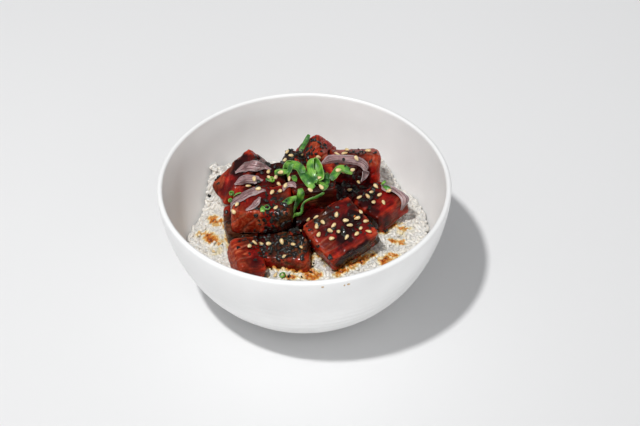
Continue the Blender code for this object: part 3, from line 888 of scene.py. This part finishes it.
def smooth_line(points):
    """A smooth line through the points, as a list of evenly spaced places."""
    points = [Vector(p) * MM for p in points]
    ends = [2 * points[0] - points[1], *points, 2 * points[-1] - points[-2]]
    line = []
    for before, start, end, after in zip(ends, ends[1:], ends[2:], ends[3:]):
        count = max(1, round((end - start).length / STRIP_SPACING))
        for i in range(count):
            t = i / count
            line.append(0.5 * (2 * start + (end - before) * t
                               + (2 * before - 5 * start + 4 * end - after) * t ** 2
                               + (3 * start - before - 3 * end + after) * t ** 3))
    return line + [points[-1]]


def averaged(values):
    """Each value mixed with its neighbours."""
    ends = [values[0], *values, values[-1]]
    return [(before + 2 * value + after) / 4 for before, value, after in zip(ends, values, ends[2:])]


def strip_frames(line, strip, ground):
    """At each place of a strip's line: the place, the way across the strip, and the way out of its face."""
    normals = [ground.find_nearest(centre)[1] for centre in line]
    for _ in range(NORMAL_ROUNDS):
        normals = averaged(normals)
    frames = []
    for i, (centre, normal) in enumerate(zip(line, normals)):
        along = (line[min(i + 1, len(line) - 1)] - line[max(i - 1, 0)]).normalized()
        side = along.cross(Vector(strip.get("facing", normal)))
        if "across" in strip:
            side = Vector(strip["across"])
        side = (side - along * side.dot(along)).normalized()
        frames.append((centre, side, -along.cross(side).normalized()))
    return frames


def clearance_push(place, clear, ground):
    """The move that brings a place clear of the ground, or None."""
    hit, normal, _, distance = ground.find_nearest(place)
    if (place - hit).dot(normal) < 0:
        return normal * (distance + clear)
    if distance < clear:
        return (place - hit).normalized() * (clear - distance)
    return None


def settled_frames(strip, thickness, ground):
    """Lift a strip's line off the ground wherever its body would touch it, and keep it smooth."""
    line = smooth_line(strip["points"])
    clear = thickness / 2 + STRIP_GAP
    sags = "across" not in strip and "facing" not in strip
    for turn in range(SETTLE_ROUNDS):
        moved = []
        for centre, side, _ in strip_frames(line, strip, ground):
            pushes = [clearance_push(centre + side * strip["width"] * MM * share, clear, ground)
                      for share in PROBES_ACROSS]
            move = max((p for p in pushes if p), key=lambda p: p.length, default=None)
            hit, _, _, away = ground.find_nearest(centre)
            if not move and sags and away > clear:
                move = (hit - centre).normalized() * min(away - clear, SAG_MOST) * SAG_SHARE
            moved.append(centre + (move or Vector()))
        line = moved
        if turn < SETTLE_ROUNDS - LAST_ROUNDS:
            line = [line[0], *averaged(line)[1:-1], line[-1]]
    return strip_frames(line, strip, ground)


def strip_piece(name, strip, form, ground):
    """A cut strip: a flat sheet bent along its line and cupped across it, then given its thickness."""
    thickness, cup, ends, wider = form
    frames = settled_frames(strip, thickness, ground)
    rows = len(frames) - 1
    deselect_all()
    bpy.ops.mesh.primitive_grid_add(x_subdivisions=STRIP_CELLS, y_subdivisions=rows, size=1)
    piece = bpy.context.object
    piece.name = name
    width = strip["width"] * MM * wider
    shift = Vector((width * 997, 0, 0))
    for vert in piece.data.vertices:
        across, share = vert.co.x, vert.co.y + 0.5
        centre, side, out = frames[round(share * rows)]
        end = min(share, 1 - share) * rows * STRIP_SPACING / (width * (1.4 - ends))
        ragged = 1 + RAGGED_SHARE * noise.noise(centre / RAGGED_LENGTH + shift)
        wide = width * ragged * (ends + (1 - ends) * smooth(end))
        lift = cup * width * (1 - 4 * across * across) * smooth(end)
        vert.co = centre + side * across * wide + out * lift
    apply_modifier(piece, "Thickness", "SOLIDIFY", thickness=thickness, offset=0)
    apply_modifier(piece, "Round", "SUBSURF", levels=1, render_levels=1)
    face_outwards(piece)
    return piece


def edge_of_strip(shader):
    """1 along a strip's two cut edges and 0 along its middle, from its own UV."""
    split = shader.add("SeparateXYZ", Vector=shader.coordinates(source="UV"))
    off_middle = shader.math("ABSOLUTE", shader.math("SUBTRACT", split.outputs[0], 0.5))
    return shader.math("MULTIPLY", off_middle, 2.0)


def onion_material(settings):
    onion = Shader("soaked_red_onion", **{"Roughness": 0.20, "Subsurface Weight": 0.4,
                                          "Subsurface Scale": 1.5 * MM, "Subsurface Radius": (1.0, 0.6, 0.6),
                                          "Coat Weight": 0.7, "Coat Roughness": 0.08})
    veins = onion.noise(onion.coordinates((9, 1.3, 1), source="UV"), 1.6, 4, 0.6, 0.4)
    stains = onion.noise(onion.coordinates(), 150, 3, 0.6)
    flesh = tuple(settings.onion_colour)
    colour = onion.ramp(veins, (0.32, (0.075, 0.014, 0.030)), (0.44, scaled(flesh, 0.45)),
                        (0.55, flesh), (0.68, (0.66, 0.55, 0.54)))
    soaked = onion.ramp(stains, (0.46, grey(0)), (0.64, grey(0.65)))
    colour = onion.mix(soaked, colour, (0.060, 0.014, 0.014))
    membrane = onion.ramp(edge_of_strip(onion), (0.72, grey(0)), (0.95, grey(0.6)))
    colour = onion.mix(membrane, colour, (0.60, 0.50, 0.50))
    onion.set("Base Color", colour).bump(veins, 0.22 * MM, 0.6)
    return onion.mat


def spring_onion_material(settings):
    green = Shader("cut_spring_onion", **{"Roughness": 0.30, "Subsurface Weight": 0.25,
                                          "Subsurface Scale": 1.0 * MM, "Subsurface Radius": (0.5, 1.0, 0.2),
                                          "Coat Weight": 0.3, "Coat Roughness": 0.15})
    veins = green.noise(green.coordinates((16, 0.8, 1), source="UV"), 1.5, 3, 0.5)
    tones = green.noise(green.coordinates(), 210, 2, 0.5)
    light = tuple(settings.green_colour)
    colour = green.ramp(tones, (0.36, (light[0] * 0.10, light[1] * 0.26, light[2] * 0.28)),
                        (0.48, (light[0] * 0.42, light[1] * 0.62, light[2] * 0.55)), (0.60, light))
    paler = green.ramp(veins, (0.36, (0.62, 0.68, 0.6)), (0.66, (1.5, 1.26, 1.35)))
    colour = green.mix(1.0, colour, paler, "MULTIPLY")
    cut_edge = green.ramp(edge_of_strip(green), (0.80, grey(0)), (1.0, grey(0.55)))
    colour = green.mix(cut_edge, colour, (0.42, 0.66, 0.22))
    green.set("Base Color", colour).bump(veins, 0.16 * MM, 0.7)
    return green.mat


def laid(*kinds):
    return [obj for obj in bpy.data.objects if obj.name.startswith(kinds)]


def pile_ground():
    """Everything on the pile so far."""
    slices = [[obj] for obj in laid("slice_", "scallion_")]
    return Ground(laid("fish_"), laid("rice_core"), laid("rice_grains"), *slices)


def lay_strips(strips, form, mat, slot, old, new):
    ground = pile_ground()
    for node, strip in strips.items():
        piece = strip_piece(node.replace(old, new), strip, form, ground)
        finish_piece(piece, mat, slot, node)
        ground.add(piece)


def chip_strip(x, y, length, width, turn, ground):
    """The strip of a short chip, from where its ends and middle land on the ground."""
    points = []
    along_x, along_y = cos(radians(turn)), sin(radians(turn))
    for step in (-0.5, 0, 0.5):
        place = Vector((x + step * length * along_x, y + step * length * along_y, 0)) * MM
        hit = ground.ray_cast(place + Vector((0, 0, OVERHEAD)), DOWN)[0]
        points.append(tuple((hit + Vector((0, 0, CHIP_LIFT))) / MM))
    return {"width": width, "points": points}


class POKE_OT_onion(bpy.types.Operator):
    """Lay the slices of soaked onion on the tuna"""
    bl_idname = "poke.onion"
    bl_label = "Onion"

    def execute(self, context):
        mat = onion_material(context.scene.poke_bowl)
        lay_strips(ONION, ONION_FORM, mat, "onion", "onion_", "slice_")
        return {"FINISHED"}


def ring_shape(radius, height):
    """A short open tube with a wall, standing on the origin's plane along Z."""
    deselect_all()
    bpy.ops.mesh.primitive_cylinder_add(vertices=16, radius=radius, depth=height, end_fill_type="NOTHING")
    ring = bpy.context.object
    apply_modifier(ring, "Wall", "SOLIDIFY", thickness=RING_WALL, offset=-1, use_even_offset=True)
    apply_modifier(ring, "Round", "SUBSURF", levels=1, render_levels=1)
    return take_shape(ring)


class POKE_OT_spring_onion(bpy.types.Operator):
    """Lay the ribbons and cut rings of spring onion on the pile"""
    bl_idname = "poke.spring_onion"
    bl_label = "Spring Onion"

    def execute(self, context):
        mat = spring_onion_material(context.scene.poke_bowl)
        lay_strips(SPRING_ONION, SPRING_ONION_FORM, mat, "spring_onion", "spring_onion_", "scallion_")
        ground = pile_ground()
        for number, (x, y, length, width, turn) in enumerate(CHIPS):
            strip = chip_strip(x, y, length, width, turn, ground)
            chip = strip_piece(f"scallion_chip_{number}", strip, SPRING_ONION_FORM, ground)
            finish_piece(chip, mat, "spring_onion")
            ground.add(chip)
        groups = []
        for x, y, radius, height, tilt in RINGS:
            hit, normal, _, _ = ground.ray_cast(Vector((x * MM, y * MM, OVERHEAD)), DOWN)
            lean = Euler((radians(tilt), 0, x)).to_matrix()
            turn = turned_to(normal) @ lean
            lift = (height / 2 * cos(radians(tilt)) + radius * 0.8 * sin(radians(tilt))) * MM
            groups.append((ring_shape(radius * MM, height * MM), [(hit + normal * lift, turn, (1, 0.82, 1))]))
        rings = joined_mesh("scallion_rings", *groups)
        rings.data.uv_layers.new(name="UVMap")
        rings.data.uv_layers[0].data.foreach_set("uv", [0.5] * (2 * len(rings.data.loops)))
        finish_piece(rings, mat, "spring_onion")
        return {"FINISHED"}


# ---- sauce -----------------------------------------------------------------------------------

# Dried drops under the rim, in degrees round from -Y, height, and size across in millimetres.
WALL_DROPS = ((6.2, 65.8, 1.5), (14.2, 65.0, 1.2), (15.7, 65.2, 1.7))
DROP_HEIGHT = 0.16


def sauce_material():
    sauce = Shader("dried_sauce", **{"Roughness": 0.35, "Coat Weight": 0.3, "Coat Roughness": 0.1})
    tones = sauce.noise(sauce.coordinates(), 900, 2)
    sauce.set("Base Color", sauce.ramp(tones, (0.35, (0.33, 0.20, 0.09)), (0.65, (0.58, 0.42, 0.24))))
    sauce.bump(tones, 0.05 * MM, 0.5)
    return sauce.mat


def drop_shape():
    """One dried drop, of unit size: a flat, uneven dome."""
    drop = unit_ball(14, 8)
    for vert in drop.data.vertices:
        vert.co.xy *= 1 + 0.5 * noise.noise(vert.co * 2.2)
    return take_shape(drop)


class POKE_OT_sauce(bpy.types.Operator):
    """Dry a few drops of sauce on the outside of the wall"""
    bl_idname = "poke.sauce"
    bl_label = "Sauce Drops"

    def execute(self, context):
        wall = search_tree([bpy.data.objects["bowl_glazed"]])
        places = []
        for turn, height, across in WALL_DROPS:
            out = Vector((sin(radians(turn)), -cos(radians(turn)), 0))
            hit, normal, _, _ = wall.ray_cast(out * 0.2 + Vector((0, 0, height * MM)), -out)
            lie = turned_to(normal) @ Euler((0, 0, turn)).to_matrix()
            size = (across * MM, across * 0.7 * MM, across * DROP_HEIGHT * MM)
            places.append((hit, lie, size))
        finish_piece(joined_mesh("sauce_drops", (drop_shape(), places)), sauce_material(), "bowl_white")
        return {"FINISHED"}


# ---- seasoning -------------------------------------------------------------------------------

def scattered(rng, zones, ground, apart=0.0):
    """Places and normals where loose bits land, thrown at each zone from all sides."""
    landed = []
    for x, y, reach, count in zones:
        made = 0
        for _ in range(count * THROWS_FOR_EACH):
            if made == count:
                break
            aim = Vector((x + rng.gauss(0, reach * 0.6), y + rng.gauss(0, reach * 0.6), 0)) * MM
            aim.z = SCATTER_HEIGHT
            tilt, turn = rng.uniform(0, SCATTER_TILT), rng.uniform(0, 2 * pi)
            back = Vector((sin(tilt) * cos(turn), sin(tilt) * sin(turn), cos(tilt)))
            hit, normal, _, _ = ground.ray_cast(aim + back * SCATTER_REACH, -back)
            if not hit or normal.dot(back) < FACING_LEAST or normal.z < -0.1:
                continue
            if hit.to_2d().length > inner_radius(hit.z) - 2 * MM or hit.z > HIGHEST_BIT:
                continue
            if any((hit - other).length < apart for other, _ in landed):
                continue
            landed.append((hit, normal))
            made += 1
    return landed


def lying(rng, hit, normal, size, sink):
    """A placement that lies flat on the ground there, turned at random and a little tilted."""
    return hit + normal * size[2] * sink, tossed(rng, normal, ROCK, ROCK), size


def seed_shape():
    """One sesame seed along X, of unit size: a flat ball drawn to a point at one end."""
    seed = unit_ball(10, 7)
    for vert in seed.data.vertices:
        x, y, z = vert.co
        pinch = 1 - 0.34 * smooth(z + 0.5)
        vert.co = (z, x * pinch, y * pinch)
    return take_shape(seed)


def flake_shape(kind):
    """One torn, crinkled scrap of seaweed, of unit size."""
    deselect_all()
    bpy.ops.mesh.primitive_grid_add(x_subdivisions=4, y_subdivisions=3, size=1)
    flake = bpy.context.object
    for vert in flake.data.vertices:
        x, y, _ = vert.co
        here = vert.co * 1.6 + Vector((kind * 5.7, 0, 0))
        narrow = 1 - 1.5 * abs(x * y)
        vert.co.x = x * narrow + 0.26 * noise.noise(here)
        vert.co.y = y * narrow + 0.26 * noise.noise(here + Vector((0, 9, 0)))
        vert.co.z = 0.42 * noise.noise(here * 1.5 + Vector((0, 0, 9))) + 0.5 * x * x - 0.1
    apply_modifier(flake, "Thickness", "SOLIDIFY", thickness=0.09, offset=0)
    return take_shape(flake)


def sesame_material(name, pale, dark):
    seed = Shader(name, **{"Roughness": 0.35, "Subsurface Weight": 0.1, "Subsurface Scale": 0.5 * MM,
                           "Coat Weight": 0.3, "Coat Roughness": 0.2})
    tones = seed.noise(seed.coordinates(), 330, 2)
    seed.set("Base Color", seed.ramp(tones, (0.3, dark), (0.7, pale)))
    seed.bump(seed.noise(seed.coordinates(), 1500, 2), 0.06 * MM, 0.5)
    return seed.mat


def seaweed_material():
    weed = Shader("dark_seaweed", **{"Roughness": 0.42, "Specular IOR Level": 0.3, "Coat Weight": 0.4,
                                     "Coat Roughness": 0.12})
    tones = weed.noise(weed.coordinates(), 260, 3, 0.6)
    weed.set("Base Color", weed.ramp(tones, (0.38, (0.003, 0.003, 0.002)), (0.58, (0.007, 0.009, 0.006)),
                                     (0.74, (0.035, 0.045, 0.024))))
    weed.bump(weed.noise(weed.coordinates(), 1100, 3, 0.6), 0.12 * MM, 0.8)
    return weed.mat


def chilli_material():
    chilli = Shader("orange_chilli", **{"Roughness": 0.3, "Coat Weight": 0.4, "Coat Roughness": 0.1})
    tones = chilli.noise(chilli.coordinates(), 900, 2)
    chilli.set("Base Color", chilli.ramp(tones, (0.3, (0.62, 0.08, 0.008)), (0.7, (0.85, 0.22, 0.02))))
    return chilli.mat


class POKE_OT_seasoning(bpy.types.Operator):
    """Scatter white and black sesame, seaweed scraps and one fleck of chilli"""
    bl_idname = "poke.seasoning"
    bl_label = "Seasoning"

    def execute(self, context):
        rng = random.Random(SEASONING_SEED)
        settings = context.scene.poke_bowl
        ground = pile_ground()
        fish = search_tree(laid("fish_"))
        length = settings.seed_length
        flakes = [[] for _ in range(FLAKE_KINDS)]
        black = []
        for hit, normal in scattered(rng, DARK_ZONES, ground):
            if fish.find_nearest(hit)[3] > ON_FISH and rng.random() < DROPPED_BESIDE_FISH:
                continue
            if rng.random() < BLACK_SEED_SHARE:
                size = tuple(length * BLACK_SEED_SIZE * share * rng.uniform(0.85, 1.1)
                             for share in SEED_SHAPE)
                black.append(lying(rng, hit, normal, size, 0.35))
                continue
            long = rng.uniform(1.0, 2.6) ** 1.35 * MM
            size = (long, max(0.9 * MM, long * rng.uniform(0.4, 0.85)), rng.uniform(1.0, 2.2) * MM)
            rng.choice(flakes).append(lying(rng, hit, normal, size, 0.12))
        white = []
        for hit, normal in scattered(rng, WHITE_SEED_ZONES, ground, SEEDS_APART):
            size = tuple(length * share * rng.uniform(0.88, 1.1) for share in SEED_SHAPE)
            white.append(lying(rng, hit, normal, size, 0.45))
        x, y = CHILLI_PLACE
        hit, normal, _, _ = ground.ray_cast(Vector((x, y, 100)) * MM, DOWN)
        fleck = lying(rng, hit, normal, CHILLI_SIZE, 0.3)
        chilli = joined_mesh("chilli_fleck", (flake_shape(FLAKE_KINDS), [fleck]))
        finish_piece(chilli, chilli_material(), "tuna")
        seed = seed_shape()
        groups = [(flake_shape(kind), places) for kind, places in enumerate(flakes) if places]
        finish_piece(joined_mesh("seaweed_flakes", *groups), seaweed_material(), SEASONING_SLOT)
        pale = sesame_material("white_sesame", (0.82, 0.67, 0.37), (0.68, 0.45, 0.18))
        dark = sesame_material("black_sesame", (0.012, 0.010, 0.010), (0.004, 0.004, 0.004))
        finish_piece(joined_mesh("white_sesame_seeds", (seed, white)), pale, SEASONING_SLOT)
        finish_piece(joined_mesh("black_sesame_seeds", (seed, black)), dark, SEASONING_SLOT)
        return {"FINISHED"}


# ---- stage ---------------------------------------------------------------------------------

KEY_PLACE = (-0.326, -0.286, 1.1)
KEY_SIZE = 0.07
FILL_PLACE = (1.0, -2.2, 0.4)
FILL_WIDTH = 2.4
FILL_HEIGHT = 0.5
ROOM_FRONT = (1.0, 1.01, 1.03)
ROOM_BACK = (0.42, 0.42, 0.43)
ROOM_BACK_FROM = 0.75
CAMERA_PLACE = (0, -0.50425, 0.49874)
CAMERA_TURN = (radians(48.0587), radians(-0.0135), radians(-0.894))
CAMERA_LENS = 73.1
SENSOR_WIDTH = 36


def add_light(name, place, shape, power, size, height=None):
    """An area light that faces the origin."""
    bpy.ops.object.light_add(type="AREA", location=place)
    light = bpy.context.object
    light.name = name
    light.data.shape = shape
    light.data.size = size
    if height:
        light.data.size_y = height
    light.data.energy = power
    light.rotation_euler = Vector(place).to_track_quat("Z", "Y").to_euler()


class POKE_OT_stage(bpy.types.Operator):
    """Lay a pale floor with painted light on it, lighter towards the right and the back, and set the lights
    and the camera
    """
    bl_idname = "poke.stage"
    bl_label = "Stage"

    def execute(self, context):
        settings = context.scene.poke_bowl
        deselect_all()
        bpy.ops.mesh.primitive_plane_add(size=6)
        floor = context.object
        floor.name = "floor"
        pale = Shader("pale_floor", **{"Roughness": 0.6})
        # The floor's colour is painted light: it gets lighter towards the right and the back, darker towards
        # the left and the front.
        across = pale.coordinates((2.6, 2.6, 2.6), (0, 0, radians(-27)), offset=(0.5, 0, 0))
        pale.set("Base Color", pale.ramp(across, (0.0, grey(0.73)), (1.0, grey(0.98))))
        floor.data.materials.append(pale.mat)
        add_light("key_light", KEY_PLACE, "DISK", settings.key_power, KEY_SIZE)
        add_light("fill_light", FILL_PLACE, "RECTANGLE", settings.fill_power, FILL_WIDTH, FILL_HEIGHT)
        world = bpy.data.worlds.new("pale_room")
        context.scene.world = world
        world.use_nodes = True
        background = world.node_tree.nodes["Background"]
        background.inputs["Strength"].default_value = settings.room_light
        way = world.node_tree.nodes.new("ShaderNodeTexCoord")
        split = world.node_tree.nodes.new("ShaderNodeSeparateXYZ")
        ramp = world.node_tree.nodes.new("ShaderNodeValToRGB")
        ramp.color_ramp.elements[0].color = (*ROOM_FRONT, 1)
        ramp.color_ramp.elements[1].color = (*ROOM_BACK, 1)
        ramp.color_ramp.elements[1].position = ROOM_BACK_FROM
        world.node_tree.links.new(way.outputs["Generated"], split.inputs[0])
        world.node_tree.links.new(split.outputs["Y"], ramp.inputs["Fac"])
        world.node_tree.links.new(ramp.outputs["Color"], background.inputs["Color"])
        bpy.ops.object.camera_add(location=CAMERA_PLACE, rotation=CAMERA_TURN)
        camera = context.object
        camera.name = "camera"
        camera.data.lens = CAMERA_LENS
        camera.data.sensor_width = SENSOR_WIDTH
        camera.data.clip_start = 0.01
        context.scene.camera = camera
        context.scene.view_settings.view_transform = "Standard"
        return {"FINISHED"}


# ---- settings, panel and run -------------------------------------------------------------------

def colour_setting(name, description, default):
    return FloatVectorProperty(name=name, description=description, default=default, size=3, min=0, max=2,
                               subtype="COLOR")


class PokeBowlSettings(bpy.types.PropertyGroup):
    glaze_colour: colour_setting("Glaze", "Colour of the bowl's glaze", (0.84, 0.84, 0.835))
    rice_colour: colour_setting("Rice", "Colour of the plain cooked rice", (0.82, 0.785, 0.715))
    tuna_colour: colour_setting("Tuna", "Colour of the fresh flesh of the tuna", (0.19, 0.003, 0.003))
    soy_colour: colour_setting("Soy", "Colour where the soy glaze has pooled", (0.014, 0.0012, 0.0015))
    onion_colour: colour_setting("Onion", "Colour of the soaked onion", (0.42, 0.24, 0.24))
    green_colour: colour_setting("Spring onion", "Lightest green of the spring onion", (0.19, 0.44, 0.055))
    grain_length: FloatProperty(name="Grain length", description="Length of a cooked grain of rice",
                                default=5.9 * MM, min=2 * MM, max=9 * MM, unit="LENGTH")
    seed_length: FloatProperty(name="Seed length", description="Length of a white sesame seed",
                               default=3.2 * MM, min=1 * MM, max=6 * MM, unit="LENGTH")
    scatter_seed: IntProperty(name="Scatter", description="Changes where grains and seeds fall", default=7)
    key_power: FloatProperty(name="Key light", description="Power of the main light", default=10, min=0,
                             unit="POWER")
    fill_power: FloatProperty(name="Fill light", description="Power of the low front light", default=15,
                              min=0, unit="POWER")
    room_light: FloatProperty(name="Room light", description="Strength of the light from all round",
                              default=0.46, min=0)


class POKE_PT_panel(bpy.types.Panel):
    bl_label = "Poke Bowl"
    bl_idname = "POKE_PT_panel"
    bl_space_type = "VIEW_3D"
    bl_region_type = "UI"
    bl_category = "Poke Bowl"

    def draw(self, context):
        settings = context.scene.poke_bowl
        for name in PokeBowlSettings.__annotations__:
            self.layout.prop(settings, name)
        for operator in OPERATORS:
            self.layout.operator(operator.bl_idname)


OPERATORS = (POKE_OT_bowl, POKE_OT_rice, POKE_OT_tuna, POKE_OT_onion, POKE_OT_spring_onion,
             POKE_OT_sauce, POKE_OT_seasoning, POKE_OT_stage)
CLASSES = (PokeBowlSettings, *OPERATORS, POKE_PT_panel)


def register():
    for cls in CLASSES:
        bpy.utils.register_class(cls)
    bpy.types.Scene.poke_bowl = PointerProperty(type=PokeBowlSettings)


def unregister():
    del bpy.types.Scene.poke_bowl
    for cls in reversed(CLASSES):
        bpy.utils.unregister_class(cls)


def main():
    register()
    bpy.ops.poke.bowl()
    bpy.ops.poke.rice()
    bpy.ops.poke.tuna()
    bpy.ops.poke.onion()
    bpy.ops.poke.spring_onion()
    bpy.ops.poke.sauce()
    bpy.ops.poke.seasoning()
    bpy.ops.poke.stage()


if __name__ == "__main__":
    main()
